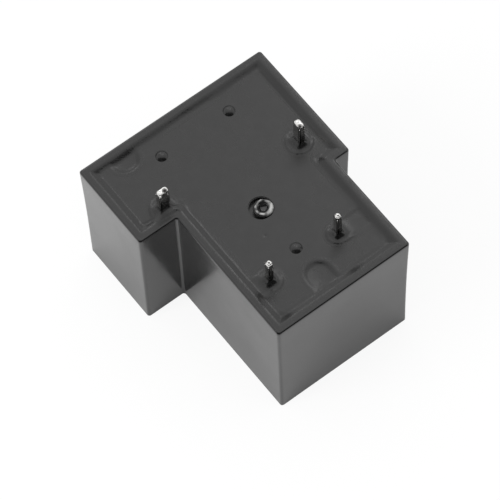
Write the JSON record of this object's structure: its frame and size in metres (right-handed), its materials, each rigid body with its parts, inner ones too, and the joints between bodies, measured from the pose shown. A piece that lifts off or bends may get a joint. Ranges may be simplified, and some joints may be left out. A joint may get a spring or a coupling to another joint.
{
  "type": "power relay",
  "caption": "Sealed board-mounted power relay: T-shaped black plastic case, potted base with pins, and inside a coil, yoke, sprung armature and one normally open contact.",
  "frame": {"origin": "middle of the case's closed face, which the relay lies on", "axes": "+Z from the closed face along the pins, +Y from the stem of the T to its crossbar, +X along the crossbar"},
  "size_m": [0.0274, 0.0322, 0.0238],
  "materials": {
    "case_plastic": "black moulded, satin gloss",
    "base_plastic": "black moulded, fine grain",
    "sealing_resin": "black cast epoxy",
    "clear_resin": "glossy drop",
    "plated_steel": "nickel plated soft iron",
    "spring_steel": "bright strip",
    "bobbin_plastic": "moulded",
    "enamelled_wire": "enamelled copper",
    "tape_film": "polyester film",
    "tinned_copper": "tinned",
    "copper_alloy": "rolled strip",
    "bare_copper": "woven strap",
    "silver_contact": "silver alloy",
    "rivet_brass": "headed"
  },
  "bodies": {
    "relay_body": {"case": "case_plastic", "base": "base_plastic", "sealing_resin": "sealing_resin", "vent_bead": "clear_resin", "yoke": "plated_steel", "core": "plated_steel", "hinge_spring": "spring_steel", "bobbin": "bobbin_plastic", "winding": "enamelled_wire", "coil_tape": "tape_film", "coil_leads": "enamelled_wire", "left_coil_pin": "tinned_copper", "right_coil_pin": "tinned_copper", "load_terminal": "tinned_copper", "common_terminal": "tinned_copper", "braid": "bare_copper", "fixed_contact": "silver_contact", "yoke_rivets": "rivet_brass"},
    "armature_body": {"armature": "plated_steel", "contact_blade": "copper_alloy", "moving_contact": "silver_contact", "blade_rivets": "rivet_brass", "spring_rivets": "rivet_brass"}
  },
  "joints": [
    {"name": "armature_hinge", "type": "hinge", "parent": "relay_body", "child": "armature_body", "pos_m": [0.00057, -0.0143, 0.0052], "axis": [1, 0, 0], "range_deg": [0, 4], "stiffness_Nm_per_rad": 0.02, "springref_deg": -5.73, "deforming": ["hinge_spring", "braid"]}
  ]
}
